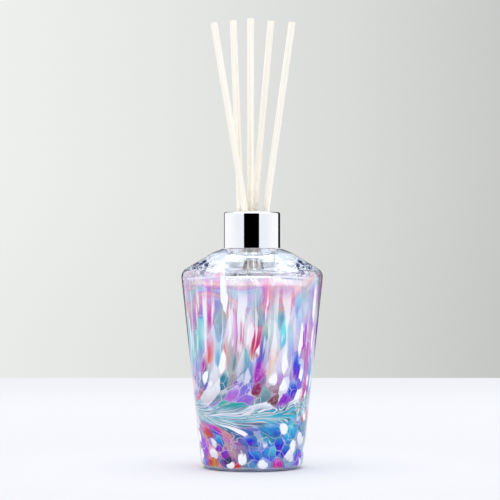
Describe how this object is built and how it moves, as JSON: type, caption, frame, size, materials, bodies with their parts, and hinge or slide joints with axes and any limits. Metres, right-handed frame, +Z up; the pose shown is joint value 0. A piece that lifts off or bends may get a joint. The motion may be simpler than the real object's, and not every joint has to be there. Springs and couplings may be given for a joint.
{
  "type": "reed diffuser",
  "caption": "Reed diffuser: tapered art-glass bottle with a threaded neck, a chrome screw collar with liner and washer, and loose rattan reeds standing through it.",
  "frame": {"origin": "on the bottle's axis, in the plane the bottle stands on", "axes": "+Z up along the bottle's axis; -Y towards the viewer of the front; +X to the viewer's right"},
  "size_m": [0.0806, 0.0806, 0.2559],
  "materials": {
    "glass": "polished, streaked with fused coloured glass",
    "chrome": "mirror bright",
    "liner": "natural moulded",
    "washer": "soft foam",
    "rattan": "raw, fine lengthwise grain"
  },
  "bodies": {
    "bottle": {"bottle": "glass"},
    "washer": {"sealing_washer": "washer"},
    "collar": {"collar_shell": "chrome", "collar_liner": "liner"},
    "reed_1": {"reed_1": "rattan"},
    "reed_2": {"reed_2": "rattan"},
    "reed_3": {"reed_3": "rattan"},
    "reed_4": {"reed_4": "rattan"},
    "reed_5": {"reed_5": "rattan"}
  },
  "joints": [
    {"name": "collar_rise", "type": "slide", "parent": "bottle", "child": "washer", "axis": [0, 0, 1], "range_m": [0, 0.0061]},
    {"name": "collar_turn", "type": "hinge", "parent": "washer", "child": "collar", "pos_m": [0, 0, 0.135], "axis": [0, 0, 1], "range_deg": [0, 540]},
    {"name": "reed_1_draw", "type": "slide", "parent": "bottle", "child": "reed_1", "axis": [-0.1644, 0.002, 0.9864], "range_m": [0, 0.145]},
    {"name": "reed_2_draw", "type": "slide", "parent": "bottle", "child": "reed_2", "axis": [-0.0384, 0.0698, 0.9968], "range_m": [0, 0.145]},
    {"name": "reed_3_draw", "type": "slide", "parent": "bottle", "child": "reed_3", "axis": [0, 0.004, 1], "range_m": [0, 0.145]},
    {"name": "reed_4_draw", "type": "slide", "parent": "bottle", "child": "reed_4", "axis": [0.0874, -0.0735, 0.9935], "range_m": [0, 0.145]},
    {"name": "reed_5_draw", "type": "slide", "parent": "bottle", "child": "reed_5", "axis": [0.1374, -0.0554, 0.989], "range_m": [0, 0.145]}
  ],
  "couplings": [
    {"joint": "collar_rise", "follows": "collar_turn", "m_per_rad": 0.00063662}
  ]
}
